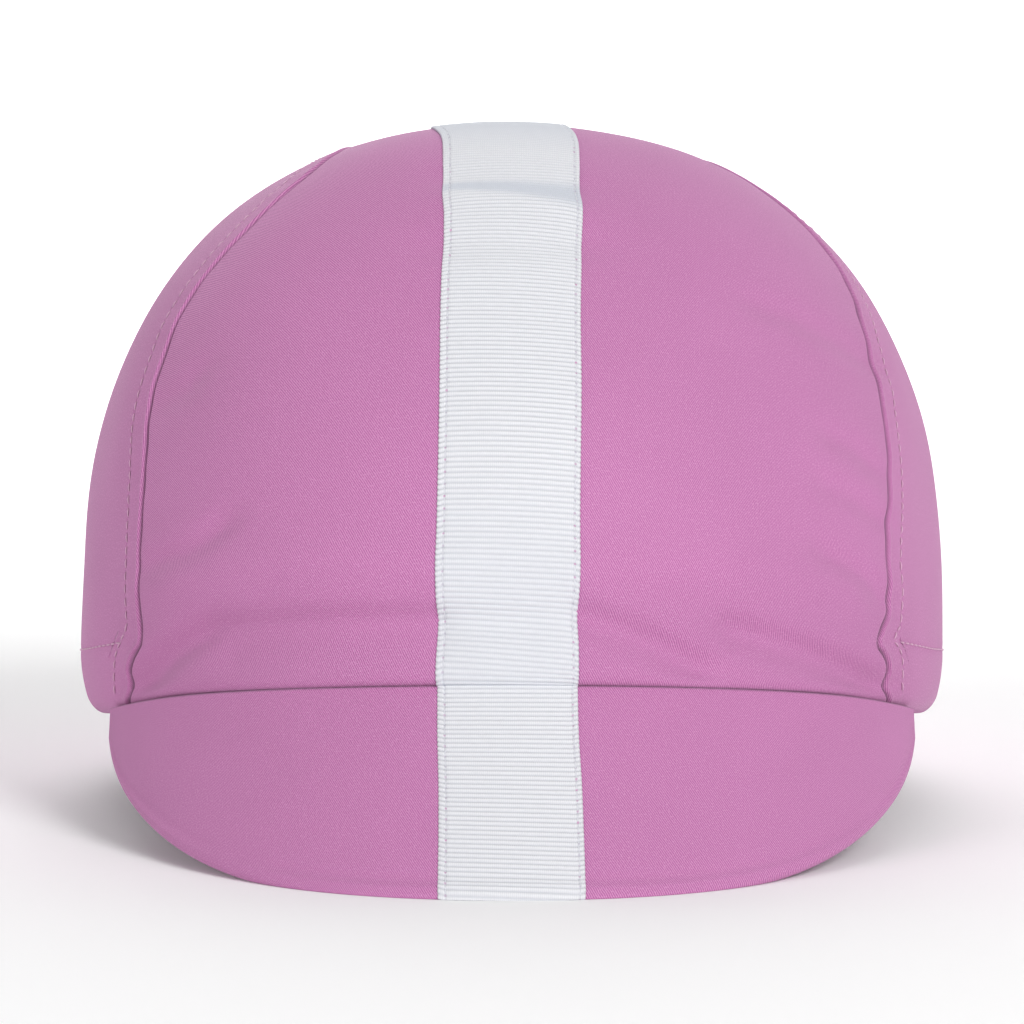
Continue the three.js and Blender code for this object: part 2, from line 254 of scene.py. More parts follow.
FOLDS = [
    # name, from x and z, to x and z, bow, width above, width below, height
    ("steep left trough", -67.5, 4.2, -57.5, 10.4, 0.4, 2.4, 3, -2.6),
    ("long left trough", -50, 11.3, -14, 11.5, 0.2, 2.6, 6.2, -2.3),
    ("swell above it", -60, 20, -14, 21, 2, 5, 4.4, 0.9),
    ("dip over the peak", -4, 11.3, 2, 11.3, 0, 2.8, 4.4, -1.5),
    ("inner right trough", 14, 12, 33, 4.4, 0.3, 2.4, 3.6, -2.2),
    ("outer right trough", 41, 10.5, 66, 3.2, 0.4, 2.4, 3.6, -2.2),
    ("swell above both", 14, 21, 62, 19, 1, 5, 4.4, 0.9),
    ("low left pull", -63, 25.3, -53, 30, -1, 2.2, 2.6, -1.2),
    ("high left pull", -63, 55.7, -58, 59, -1, 2.2, 2.6, -0.7),
    ("low right pull", 58, 25, 66, 19.2, 1, 2, 2.8, -1.2),
    ("middle right pull", 59, 37, 65.5, 33.7, 1, 2, 2.6, -0.9),
    ("upper right pull", 59, 46.6, 65.5, 43, 1, 2, 2.6, -0.9),
    ("high right fold", 46, 71, 65, 63.5, 1, 2.6, 2.6, -0.8),
    ("hollow behind the crest", -11, 96, 11, 94, 0.6, 2.6, 2.6, -0.6),
    ("crest near the top", -9, 91.2, 9, 89.2, 0.4, 2.4, 2.4, 0.7),
    ("dip below the crest", -12, 81.5, 12, 81.5, 0, 3.6, 3.6, -0.8),
]


def fold_height(points, fold):
    """A fold's height: full on its bowed line, and less by a bell curve with the distance from it.

    The bell has one width above the line and one below it. Past the line's ends it fades
    over twice the upper width.
    """
    _, x0, z0, x1, z1, bow, above, below, height = fold
    length = math.hypot(x1 - x0, z1 - z0)
    way = ((x1 - x0) / length, (z1 - z0) / length)
    dx = points[..., 0] - x0
    dz = points[..., 2] - z0
    along = dx * way[0] + dz * way[1]
    t = np.clip(along / length, 0, 1)
    aside = dz * way[0] - dx * way[1] - bow * 4 * t * (1 - t)
    past = along - t * length
    width = np.where(aside > 0, above, below)
    return height * np.exp(-((past / (2 * above)) ** 2) - (aside / width) ** 2)


# %% The hem's draw and roll, and the cloth's small waves
HEM_HEIGHT = 12.0
DRAW_IN = 1.5
SIDE_DRAW_IN = 0.9
ROLL_HEIGHT = 2.4
ROLL_IN = 1.1
SIDE_ROLL = 1.0
WAVE_COUNT = 18
SHORTEST_WAVE = 22
LONGEST_WAVE = 60
WAVE_HEIGHT = 0.05
rng = np.random.default_rng(7)
wave_ways = rng.normal(size=(WAVE_COUNT, 3))
wave_lengths = rng.uniform(SHORTEST_WAVE, LONGEST_WAVE, WAVE_COUNT)
wave_ways *= (2 * math.pi / wave_lengths / np.linalg.norm(wave_ways, axis=1))[:, None]
wave_starts = rng.uniform(0, 2 * math.pi, WAVE_COUNT)


def small_waves(points):
    """Soft waves without a plan: eighteen sines of 22 to 60 mm, each along its own way, added up."""
    return WAVE_HEIGHT * np.sin(points @ wave_ways.T + wave_starts).sum(-1)


def relief(points):
    """How far the cloth stands out of the plain dome: folds in front, small waves, and the hem.

    The hem draws in by a square law below HEM_HEIGHT, and its lowest stretch is a quarter oval.
    Both are stronger at the sides.
    """
    front = points[..., 1] < 0
    folds = sum(fold_height(points, fold) for fold in FOLDS) * front
    free = np.where(front, (points[..., 0] / HALF_WIDTH) ** 2, 1)
    at_side = np.minimum(np.abs(points[..., 0]) / HALF_WIDTH, 1) ** 4
    low = np.clip(1 - points[..., 2] / HEM_HEIGHT, 0, 1)
    lowest = np.clip(1 - points[..., 2] / (ROLL_HEIGHT + SIDE_ROLL * at_side), 0, 1)
    roll = (ROLL_IN + SIDE_ROLL * at_side) * (1 - np.sqrt(1 - lowest**2))
    drawn_in = (DRAW_IN * free + SIDE_DRAW_IN * at_side) * low**2
    return (folds + small_waves(points)) * (1 - lowest) - drawn_in - roll


def on_cloth(points, height):
    """Points of the dome moved out by a height."""
    return points + outward(points) * np.asarray(height)[..., None]


print("small waves reach", round(float(np.abs(small_waves(SEAM_PATHS[1])).max()), 2), "mm")

# %% [markdown]
# ## Laying the cap down
# A cap left on a table leans on its peak's edge and on the back of its rim.
# So everything is worked out upright, and the last step leans it and lets it sink a little.
# Cloth near the table flattens softly, instead of being cut off level.

# %% The peak's sizes and the lean
PEAK_HALF_WIDTH = 75.4
OUTLINE_HALF_WIDTH = 75.8
PEAK_LENGTH = 45.1
PEAK_SLOPE = math.radians(55.6)
PEAK_THICKNESS = 2.4
ACROSS_POWER = 3.15
ALONG_POWER = 2.2
CAD_ROLL_IN = 1.2
ROOT_TUCK = 0.1
DOWN_THE_PEAK = np.array([0, -math.cos(PEAK_SLOPE), -math.sin(PEAK_SLOPE)])


def peak_root(x):
    """The line on which the peak hangs: the rim's front, moved in with the rolled hem."""
    rim = np.stack([x, -rim_reach(x, FRONT_REACH), np.zeros(np.shape(x))], -1)
    root = rim - outward(rim) * CAD_ROLL_IN
    root[..., 2] = ROOT_TUCK
    return root


def peak_point(x, down, offset):
    """A point of the peak: down its slope from the root, then square to its upper face."""
    x, down, offset = np.broadcast_arrays(*(np.asarray(a, float) for a in (x, down, offset)))
    near = 0.1
    across = peak_root(x + near) - peak_root(x - near)
    square = np.cross(across, DOWN_THE_PEAK)
    square *= np.sign(square[..., 2:]) / np.linalg.norm(square, axis=-1, keepdims=True)
    return peak_root(x) + down[..., None] * DOWN_THE_PEAK + offset[..., None] * square


def peak_length(x):
    """The peak's length down its slope at a width, by an oval of two powers."""
    across = (np.abs(x) / OUTLINE_HALF_WIDTH) ** ACROSS_POWER
    return PEAK_LENGTH * (1 - across) ** (1 / ALONG_POWER)


SUNK = 0.8
MIDDLE_OF_LENGTH = -15.35
FLATTENING = 0.25
CAD_ROOT_GAP = 0.3
tip = peak_point(0, PEAK_LENGTH, -PEAK_THICKNESS) - [0, 0, ROOT_TUCK + CAD_ROOT_GAP]
heel = np.array([0, BACK_REACH - DRAW_IN - CAD_ROLL_IN, 0])
lean = -math.atan2(heel[2] - tip[2], heel[1] - tip[1])
FLOOR = heel[1] * math.sin(lean) + SUNK


RIM_WAVE = np.array(
    [
        # y, height
        (-101, 0),
        (-70, -0.2),
        (-42, -1.2),
        (-30, -1.4),
        (-14, -0.6),
        (4, 0.6),
        (20, 2.4),
        (36, 3.4),
        (60, 2.2),
        (80, 0.5),
        (90, 0),
        (95, 0),
    ]
)
WAVE_REACH = 26.0


def rim_wave(points):
    """The rim's rise and fall: it dips beside the peak's corners, and arches over the ears.

    The table gives it along the rim, and the square of the share left fades it out upwards.
    """
    low = np.clip(1 - points[..., 2] / WAVE_REACH, 0, 1)
    return between(points[..., 1], RIM_WAVE[:, 0], RIM_WAVE[:, 1]) * low**2


def laid_down(points):
    """Points leaned and sunk, in metres. Near the floor a height h becomes a decaying share of it."""
    height = points[..., 2] + rim_wave(points)
    y = points[..., 1] * math.cos(lean) - height * math.sin(lean)
    z = points[..., 1] * math.sin(lean) + height * math.cos(lean) - FLOOR
    soft = FLATTENING * np.exp(np.minimum(z / FLATTENING - 1, 0))
    z = np.where(z < FLATTENING, soft, z)
    return np.stack([points[..., 0], y - MIDDLE_OF_LENGTH, z], -1) / 1000


print("lean", round(math.degrees(lean), 2), "degrees")

# %% [markdown]
# ## From arrays to meshes
# A cloth piece is a grid of points for its outside and one for its inside.
# Numpy makes the whole grid at once, and foreach_set hands it to Blender without a loop.
# The two grids are joined round their edges, so that the cloth is a closed solid.
# Each point also carries its place on the flat cloth in millimetres, which the weave follows.


# %% A closed shell from two grids
def grid_faces(rows, columns, start=0):
    """The four corners of each cell of a grid whose points are numbered row by row."""
    corner = start + np.arange(rows - 1)[:, None] * columns + np.arange(columns - 1)
    return np.stack([corner, corner + 1, corner + columns + 1, corner + columns], -1).reshape(-1, 4)


def spread_out(*parts):
    """Rows and columns of numbers brought to one shape, as the coordinates of one grid of points."""
    return np.stack(np.broadcast_arrays(*parts), -1)


def edge_ring(rows, columns):
    """The numbers of a grid's edge points, once round."""
    numbers = np.arange(rows * columns).reshape(rows, columns)
    return np.concatenate(
        [numbers[0], numbers[1:, -1], numbers[-1, -2::-1], numbers[-2:0:-1, 0]]
    )


def tube_faces(rings, rounds):
    """The numbers of a tube's points, ring by ring, and the four-sided faces of its sides."""
    numbers = np.arange(rings * rounds).reshape(rings, rounds)
    around = np.roll(numbers, -1, axis=1)
    sides = np.stack([numbers[:-1], around[:-1], around[1:], numbers[1:]], -1)
    return numbers, sides.reshape(-1, 4)


def end_fan(ring):
    """Four-sided faces that close a tube's first ring, from the ring's two ends inwards."""
    first = np.arange(len(ring) // 2 - 1)
    last = len(ring) - 1 - first
    return np.stack([ring[last], ring[last - 1], ring[first + 1], ring[first]], -1)


def make_mesh(name, points, faces, flat, material, shade=None):
    """A smooth mesh object of four-sided faces, with the flat cloth's millimetres as its UV map.

    Where it is given, the shade says for each point how much painted shade its colour takes, from 0 to
    1.
    """
    corners = points[faces]
    middle = points.mean(0)
    spans = np.cross(corners[:, 2] - corners[:, 0], corners[:, 3] - corners[:, 1])
    if ((corners.mean(1) - middle) * spans).sum() < 0:
        faces = faces[:, ::-1]
    mesh = bpy.data.meshes.new(name)
    mesh.vertices.add(len(points))
    mesh.vertices.foreach_set("co", points.astype(np.float32).ravel())
    mesh.loops.add(faces.size)
    mesh.loops.foreach_set("vertex_index", faces.astype(np.int32).ravel())
    mesh.polygons.add(len(faces))
    mesh.polygons.foreach_set("loop_start", np.arange(0, faces.size, 4, dtype=np.int32))
    mesh.polygons.foreach_set("use_smooth", np.ones(len(faces), bool))
    layer = mesh.uv_layers.new(name="cloth")
    layer.uv.foreach_set("vector", flat[faces.ravel()].astype(np.float32).ravel())
    # The shade is stored as an attribute, and the materials mix painted shade into the colour by it.
    if shade is not None:
        shade_share = mesh.attributes.new("painted_shade", "FLOAT", "POINT")
        shade_share.data.foreach_set("value", shade.astype(np.float32).ravel())
    mesh.update(calc_edges=True)
    mesh.validate()
    piece = bpy.data.objects.new(name, mesh)
    bpy.context.scene.collection.objects.link(piece)
    piece.data.materials.append(material)
    return piece


def make_shell(name, outer, inner, flat, material, shade=None):
    """A closed cloth wall: the outer grid, the inner grid turned over, and a strip round the edge."""
    rows, columns = outer.shape[:2]
    count = rows * columns
    ring = edge_ring(rows, columns)
    after = np.roll(ring, -1)
    faces = np.concatenate(
        [
            grid_faces(rows, columns),
            grid_faces(rows, columns, count)[:, ::-1],
            np.stack([ring + count, after + count, after, ring], -1),
        ]
    )
    points = laid_down(np.concatenate([outer.reshape(-1, 3), inner.reshape(-1, 3)]))
    shades = None if shade is None else np.tile(shade.ravel(), 2)
    piece = make_mesh(name, points, faces, np.tile(flat.reshape(-1, 2), (2, 1)), material, shades)
    print(name, len(faces), "faces")
    return piece


def stand_for(piece, node):
    """Makes a piece ride on the cap's one body and stand for its solid."""
    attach(piece, "root")
    if node:
        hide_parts(node)


# %% [markdown]
# ## Materials: cotton twill
# Twill is woven so that each thread steps over by one, which draws fine slanting lines.
# The lines are a third of a millimetre apart, too fine for the mesh, so they go into the material.
# They follow the cloth map, so they bend with the panel as a real weave does.


# %% Small helpers for shader nodes
def new_material(name, roughness, sheen):
    """A material whose plain numbers are set on the shader itself, with the cloth map at hand."""
    material = bpy.data.materials.new(name)
    material.use_nodes = True
    tree = material.node_tree
    shader = tree.nodes["Principled BSDF"]
    shader.inputs["Roughness"].default_value = roughness
    shader.inputs["Specular IOR Level"].default_value = 0.25
    shader.inputs["Sheen Weight"].default_value = sheen
    shader.inputs["Sheen Roughness"].default_value = 0.45
    cloth_map = tree.nodes.new("ShaderNodeUVMap")
    cloth_map.uv_map = "cloth"
    return material, tree, shader, cloth_map.outputs["UV"]


def linear(red, green, blue):
    """A colour as a screen shows it, 0 to 255, as the light that the shader works in."""
    share = np.array([red, green, blue]) / 255
    light = np.where(share <= 0.04045, share / 12.92, ((share + 0.055) / 1.055) ** 2.4)
    return (*light.tolist(), 1)


def link_up(tree, kind, inputs, **settings):
    """A new node with its settings, and with numbers or other nodes' outputs on its inputs."""
    node = tree.nodes.new(kind)
    for key, value in settings.items():
        setattr(node, key, value)
    for key, value in inputs.items():
        if isinstance(value, bpy.types.NodeSocket):
            tree.links.new(value, node.inputs[key])
        else:
            node.inputs[key].default_value = value
    return node


def turned(tree, place, angle, size):
    """The cloth map turned by an angle and scaled, so that a pattern can run along a direction."""
    inputs = {"Vector": place, "Rotation": (0, 0, angle), "Scale": (size, size, size)}
    return link_up(tree, "ShaderNodeMapping", inputs).outputs["Vector"]


def mixed(tree, share, first, second):
    """A colour between two others, by a share. Each is a node's output or a screen's colour."""
    ends = [linear(*end) if isinstance(end, tuple) else end for end in (first, second)]
    node = link_up(tree, "ShaderNodeMix", {0: share, 6: ends[0], 7: ends[1]}, data_type="RGBA")
    return node.outputs[2]


def times(tree, value, factor):
    """A value of the shader times a number or another value."""
    return math_node(tree, "MULTIPLY", value, factor)


def math_node(tree, operation, *values):
    """One sum on the shader's numbers."""
    node = link_up(tree, "ShaderNodeMath", dict(enumerate(values)), operation=operation)
    return node.outputs["Value"]


def ranged(tree, value, before, after=(0, 1)):
    """A value between two ends, before, brought to the same place between two others, after."""
    ends = {"From Min": before[0], "From Max": before[1], "To Min": after[0], "To Max": after[1]}
    return link_up(tree, "ShaderNodeMapRange", {"Value": value, **ends}).outputs["Result"]


def noise(tree, place, scale, detail):
    """Soft random spots, so many to a millimetre as the scale says."""
    inputs = {"Vector": place, "Scale": scale, "Detail": detail}
    return link_up(tree, "ShaderNodeTexNoise", inputs).outputs["Fac"]


def thread_lines(tree, place, distortion, detail, detail_scale):
    """Light and dark lines, as far apart as the map's size makes them, and a little uneven."""
    inputs = {"Vector": place, "Scale": 1, "Distortion": distortion}
    inputs.update({"Detail": detail, "Detail Scale": detail_scale})
    return link_up(tree, "ShaderNodeTexWave", inputs).outputs["Fac"]


def seam_shadow(tree, colour, shadow):
    """A colour that turns to a painted shade's colour, as far as the piece's own shade attribute says.
    """
    shade_share = link_up(tree, "ShaderNodeAttribute", {}, attribute_name="painted_shade").outputs["Fac"]
    return mixed(tree, shade_share, colour, shadow)


def finish_shader(tree, shader, colour, height, strength, distance):
    """Puts a colour on the shader, and a bump that is as high as the distance in metres."""
    inputs = {"Height": height, "Strength": strength, "Distance": distance}
    bump = link_up(tree, "ShaderNodeBump", inputs).outputs["Normal"]
    tree.links.new(colour, shader.inputs["Base Color"])
    tree.links.new(bump, shader.inputs["Normal"])


# %% Twill, light side out
WAVE_LENGTH = 2 * math.pi / 20
TWILL_SPACING = 0.37
TWILL_TURN = math.radians(-30)
# The light and dark twill lines paint the highlight and shade of the weave's fine ridges, which the
# bump also raises.
TWILL_LIGHT = (211, 140, 190)
TWILL_DARK = (166, 96, 148)
TWILL_PALE = (228, 172, 213)
# The colour of the painted shade in the seams, the crease over the peak and the low front.
TWILL_SHADOW = (104, 84, 100)


def twill_material(name):
    """Slanting twill lines of painted highlight and shade, broken by fine fuzz, over slow changes of
    the dye, with painted shade in the seams.
    """
    material, tree, shader, place = new_material(name, 0.9, 0.16)
    slanted = turned(tree, place, TWILL_TURN, WAVE_LENGTH / TWILL_SPACING)
    lines = thread_lines(tree, slanted, 1.6, 1, 1.2)
    fuzz = noise(tree, place, 2.9, 3)
    slow = noise(tree, place, 0.03, 2)
    woven = mixed(tree, lines, TWILL_DARK, TWILL_LIGHT)
    flecked = mixed(tree, ranged(tree, fuzz, (0.5, 1)), woven, TWILL_PALE)
    strength = ranged(tree, slow, (0, 1), (0.95, 1.05))
    dyed = link_up(tree, "ShaderNodeHueSaturation", {"Color": flecked, "Value": strength})
    shaded = seam_shadow(tree, dyed.outputs["Color"], TWILL_SHADOW)
    finish_shader(tree, shader, shaded, math_node(tree, "ADD", lines, fuzz), 0.35, 0.00008)
    return material


twill = twill_material("pink twill")
print("material:", twill.name)

# %% [markdown]
# ## The middle panel
# The middle panel is cut as one long piece from the peak over the top to the back.
# Its rows run across the cap, and its columns crowd together towards the two seams.
# At a seam the cloth turns in sharply, and painted shade along the seam deepens its fine dark line.

# %% Where the hem is sewn, and where shade is painted
CLOTH_THICKNESS = 0.9
HEM_STITCH_AT = 10.8
SIDE_STITCH_HIGHER = 1.1
WIDEST_AT = 2.0
HEM_GROOVE = 0.12
# Shares of painted shade: in the crease over the peak, its soft halo, the low front near the hem, and
# the seams.
CREASE_SHADE = 0.55
CREASE_HALO = 0.1
HEM_SHADE = 0.06
SEAM_SHADE = 0.7


def hem_stitch_height(y):
    """How high the hem is sewn: a little higher at the widest place, by a bell curve round it."""
    return HEM_STITCH_AT + SIDE_STITCH_HIGHER * bell(y - WIDEST_AT, 26)


def hem_groove(points):
    """The shallow groove that the hem's stitches press into the cloth, as a narrow bell curve."""
    return HEM_GROOVE * bell(points[..., 2] - hem_stitch_height(points[..., 1]), 0.5)


def root_shade(points):
    """How much painted shade a point gets in the crease over the peak: narrow bell curves up from the
    rim.

    A weaker painted shade also darkens the low front over the hem, and fades out above the hem.
    """
    over_peak = np.clip((PEAK_HALF_WIDTH - np.abs(points[..., 0])) / 3, 0, 1) * (points[..., 1] < 0)
    height = points[..., 2]
    crease = CREASE_SHADE * bell(height, 0.3) + CREASE_HALO * bell(height, 1.4)
    painted_low_shade = HEM_SHADE * np.clip((2 * HEM_HEIGHT - height) / HEM_HEIGHT, 0, 1)
    return over_peak * np.maximum(crease, painted_low_shade)


def seam_shade(points, side, width):
    """How much painted shade a point gets in a seam: a narrow bell curve of its distance."""
    return SEAM_SHADE * bell(from_seam(points, side)[0], width)


# %% The heights and the grid of the middle panel
SEAM_DEPTH = 0.65
SEAM_PULL = 0.05


def middle_height(points):
    """The middle panel's height: the relief, with its edges turned in by narrow bell curves.

    Beside a seam the stitches pull the cloth in small uneven waves, a sine of a sine.
    """
    height = relief(points)
    for side, _ in SIDES:
        distance, along = from_seam(points, side)
        pull = SEAM_PULL * np.sin(along / 1.9 + 2 * np.sin(along / 7.3)) * bell(distance, 4)
        height = height - SEAM_DEPTH * bell(distance, 0.4) + pull
    return height - hem_groove(points) * (points[..., 1] > 0)


def spread(near_start, step, near_end, length):
    """Places from 0 to 1: close ones at the start, even steps, and close ones before the end."""
    middle = np.arange(near_start[-1] + step, length - near_end[-1], step)
    ends = length - np.array(near_end[::-1])
    return np.concatenate([near_start, middle, ends]) / length


ROW_STEP = 1.25
COLUMN_STEP = 1.3
RIM_STEPS = [0, 0.12, 0.35, 0.7, 1.1, 1.6, 2.2, 2.9, 3.7, 4.7]
PANEL_LENGTH = 354
PANEL_HALF_WIDTH = 68
EDGE_STEPS = [0, 0.12, 0.25, 0.4, 0.6, 0.85, 1.15, 1.6, 2.2, 3, 4]
EDGE_CELLS = 8
panel_rows = spread(RIM_STEPS, ROW_STEP, RIM_STEPS, PANEL_LENGTH)
share_out = 1 - spread(EDGE_STEPS, COLUMN_STEP, [0], PANEL_HALF_WIDTH)
panel_shares = np.concatenate([-share_out, share_out[-2::-1]])
print("middle panel:", len(panel_rows), "rows of", len(panel_shares), "points")

# %% Build the middle panel
seam_x = {side: seam_line(side, panel_rows)[:, 0] for side, _ in SIDES}
width_at = np.where(panel_shares < 0, -seam_x[-1][:, None], seam_x[1][:, None])
panel_x = panel_shares * width_at
panel_dome = at_width(panel_x, row_angle(panel_x, panel_rows[:, None]))
middle_column = len(share_out) - 1
panel_height = middle_height(panel_dome)
panel_outside = on_cloth(panel_dome, panel_height)
across_steps = np.linalg.norm(np.diff(panel_dome, axis=1), axis=2)
turned_in = np.linalg.norm(np.diff(panel_outside, axis=1), axis=2)
across_steps[:, :EDGE_CELLS] = turned_in[:, :EDGE_CELLS]
across_steps[:, -EDGE_CELLS:] = turned_in[:, -EDGE_CELLS:]
across_mm = np.cumsum(np.pad(across_steps, ((0, 0), (1, 0))), axis=1)
across_mm -= across_mm[:, middle_column : middle_column + 1]
up_mm = np.broadcast_to(lengths_along(panel_dome[:, middle_column])[:, None], across_mm.shape)
# The panel's painted shade: in the crease over the peak, over the low front, and along both seams.
panel_shade = root_shade(panel_dome)
for side, _ in SIDES:
    panel_shade = np.maximum(panel_shade, seam_shade(panel_dome, side, 0.2))
crown_middle = make_shell(
    "crown_middle",
    panel_outside,
    on_cloth(panel_dome, panel_height - CLOTH_THICKNESS),
    np.stack([across_mm, up_mm], -1),
    twill,
    panel_shade,
)
stand_for(crown_middle, "centre_panel")

# %% [markdown]
# ## The side panels
# Each side panel is a half moon between the rim and a seam, with a sewn-down seam edge.
# Its lines run from a point of the rim to a point of the seam at the same share of the way.
# So the rows near the seam follow it, and the ridge and the stitched groove come out clean.

# %% The sewn edge of a side panel
TOPSTITCH_AT = 6.1
RIDGE_HEIGHT = 0.2
DOUBLED_HEIGHT = 0.2
TOPSTITCH_GROOVE = 0.22
PUCKER_HEIGHT = 0.1


def side_height(points, side):
    """The side panel's height: relief, a rolled ridge at the seam, and a groove under the stitches.

    The folded edge under the cloth lifts it as far as the stitches, and the thread puckers it.
    """
    distance, along = from_seam(points, side)
    turned_in = -SEAM_DEPTH * bell(distance, 0.3)
    ridge = RIDGE_HEIGHT * bell(distance - 0.7, 0.45)
    lifted = DOUBLED_HEIGHT / (1 + np.exp((distance - TOPSTITCH_AT - 0.5) / 0.35))
    groove = -TOPSTITCH_GROOVE * bell(distance - TOPSTITCH_AT, 0.5)
    pucker = np.sin(along / 1.7 + 2.2 * np.sin(along / 6.1 + side)) * bell(distance - 3.4, 2.6)
    sewn = turned_in + ridge + lifted + groove + PUCKER_HEIGHT * pucker
    return relief(points) + sewn - hem_groove(points)


# %% The grid of a side panel
RIDGE_STEPS = [0, 0.1, 0.2, 0.32, 0.45, 0.6, 0.75, 0.9, 1.05, 1.25, 1.5, 1.9, 2.6, 3.4, 4.2, 4.9]
STITCH_STEPS = [5.4, 5.7, 5.9, 6.1, 6.3, 6.55, 6.85, 7.25, 7.8, 8.5, 9.4]
STRIP_STEPS = np.array(RIDGE_STEPS + STITCH_STEPS)
SMOOTHING_WINDOW = np.hanning(121)
SMOOTHING = SMOOTHING_WINDOW / SMOOTHING_WINDOW.sum()
FOOT_REACH = 25.0
CORNER_SPACE = 0.6
SEAM_SPACES = 345
MOON_HEIGHT = 116
side_columns = spread(RIM_STEPS, ROW_STEP, RIM_STEPS, SEAM_SPACES)
moon_rows = spread(RIM_STEPS, 1.35, [1.3], MOON_HEIGHT)


def to_cloth(points):
    """Points carried out to the dome: from the belt's middle, or level from its axis if below it."""
    way = points - BELT_MIDDLE
    carried = way * crown_scale(way)[..., None]
    carried[..., 2] = np.where(way[..., 2] < 0, way[..., 2], carried[..., 2])
    return carried + BELT_MIDDLE


def beside_seam(side, lengths, distances):
    """Points at distances from a seam, on lines square to a smoothed copy of it.

    Near the rim the lines turn level, so that the first of them runs along the rim.
    """
    path = SEAM_PATHS[side]
    along = lengths_along(path)
    margin = len(SMOOTHING) // 2
    padded = np.pad(path, ((margin, margin), (0, 0)), mode="reflect", reflect_type="odd")
    smooth = np.stack([np.convolve(padded[:, i], SMOOTHING, "valid") for i in range(3)], -1)
    square = side * np.cross(np.gradient(smooth, axis=0), outward(path))
    from_end = np.minimum(along, along[-1] - along)
    square[:, 2] *= np.clip(from_end / FOOT_REACH, 0, 1)
    line = on_path(lengths, along, path)
    way = on_path(lengths, along, unit(square))
    return to_cloth(line + way * np.asarray(distances)[..., None, None])


def side_dome(side):
    """The dome's points for a side panel, from the rim up to its seam.

    The last rows lie beside the seam. The others share out the way from the rim to that strip,
    and are then carried to the cloth.
    """
    lengths = side_columns * lengths_along(SEAM_PATHS[side])[-1]
    strip = beside_seam(side, lengths, STRIP_STEPS[::-1])
    start, end = (np.arctan2(side * p[0], -p[1]) for p in (strip[0, 0], strip[0, -1]))
    space = CORNER_SPACE / HALF_WIDTH
    bearing = start + space + (end - start - 2 * space) * side_columns
    rim = belt_line(side * bearing)
    moon = to_cloth(rim + (strip[0] - rim) * moon_rows[:, None, None])
    return np.concatenate([moon, strip])


# %% The cloth map of a side panel
MAP_RADIUS = 90.0
belt_bearing = np.linspace(0, math.pi, 721)
belt = belt_line(belt_bearing)
belt_mm = lengths_along(belt)
belt_mm -= belt_mm[len(belt_mm) // 2]


def side_map(dome, side):
    """Millimetres on the flat cloth: the length round the belt, less for less reach, and the rise."""
    bearing = np.arctan2(np.abs(dome[..., 0]), -dome[..., 1])
    reach = np.hypot(dome[..., 0], dome[..., 1])
    belt_reach = np.interp(bearing, belt_bearing, np.hypot(belt[:, 0], belt[:, 1]))
    across = np.interp(bearing, belt_bearing, belt_mm) * reach / belt_reach
    up = np.arctan2(dome[..., 2] - BELT_HEIGHT, reach) * MAP_RADIUS
    return np.stack([side * across, up], -1)


def lengthened(flat, dome, outside, rows):
    """The map with its last rows set further apart, as much as the turned-in cloth is longer."""
    plain = np.linalg.norm(np.diff(dome[-rows:], axis=0), axis=2)
    real = np.linalg.norm(np.diff(outside[-rows:], axis=0), axis=2)
    more = np.diff(flat[-rows:], axis=0) * (real / plain - 1)[..., None]
    longer = flat.copy()
    longer[1 - rows :] += np.cumsum(more, axis=0)
    return longer


# %% Build the side panels
for side, word in SIDES:
    dome = side_dome(side)
    height = side_height(dome, side)
    outside = on_cloth(dome, height)
    # The shade passed last is painted shade: the crease over the peak and the low front where the
    # panel reaches them, and the seam.
    crown_side = make_shell(
        f"crown_side_{word}",
        outside,
        on_cloth(dome, height - CLOTH_THICKNESS),
        lengthened(side_map(dome, side), dome, outside, len(STRIP_STEPS)),
        twill,
        np.maximum(root_shade(dome), seam_shade(dome, side, 0.22)),
    )
    stand_for(crown_side, f"side_panel_{word}")

# %% [markdown]
# ## The hem inside
# The rim's cloth is folded up inside and sewn, so a band shows when the cap is turned over.

# %% Build the inside band
BAND_BOTTOM = 2.4
BAND_GAP = 0.45
BAND_THICKNESS = 0.8
BACK_JOIN = 0.0016
BAND_COLUMNS = 420
band_line = belt_line(np.linspace(BACK_JOIN - math.pi, math.pi - BACK_JOIN, BAND_COLUMNS))
band_rows = np.array([0, 0.25, 0.7, 1.4, 2.6, 4.2, 6, 7.6, 8, 8.4, 8.8, 9.4, 9.6, 9.7]) + BAND_BOTTOM
band_dome = band_line + np.array([0, 0, 1]) * band_rows[:, None, None]
band_height = relief(band_dome) - CLOTH_THICKNESS - BAND_GAP
band_height = band_height + HEM_GROOVE * bell(band_rows - HEM_STITCH_AT, 0.5)[:, None]
hem_inside = make_shell(
    "hem_inside",
    on_cloth(band_dome, band_height),
    on_cloth(band_dome, band_height - BAND_THICKNESS),
    spread_out(lengths_along(band_line), band_rows[:, None]),
    twill,
)
stand_for(hem_inside, "hem_band")

# %% [markdown]
# ## The peak
# The peak is a stiff sheet between two cloths, bent one way only round the forehead.
# The upper cloth rolls over the edge and is sewn to the under cloth, so the edge is a soft nose.
# One closed loop of points round the section carries all of it, widened from corner to corner.

# %% Round the peak from its root over the nose to the under side
HALF_THICK = PEAK_THICKNESS / 2
EDGE_RIDGE = 0.22
EDGE_DIP = 0.12
UNDER_TUCK = 1.1


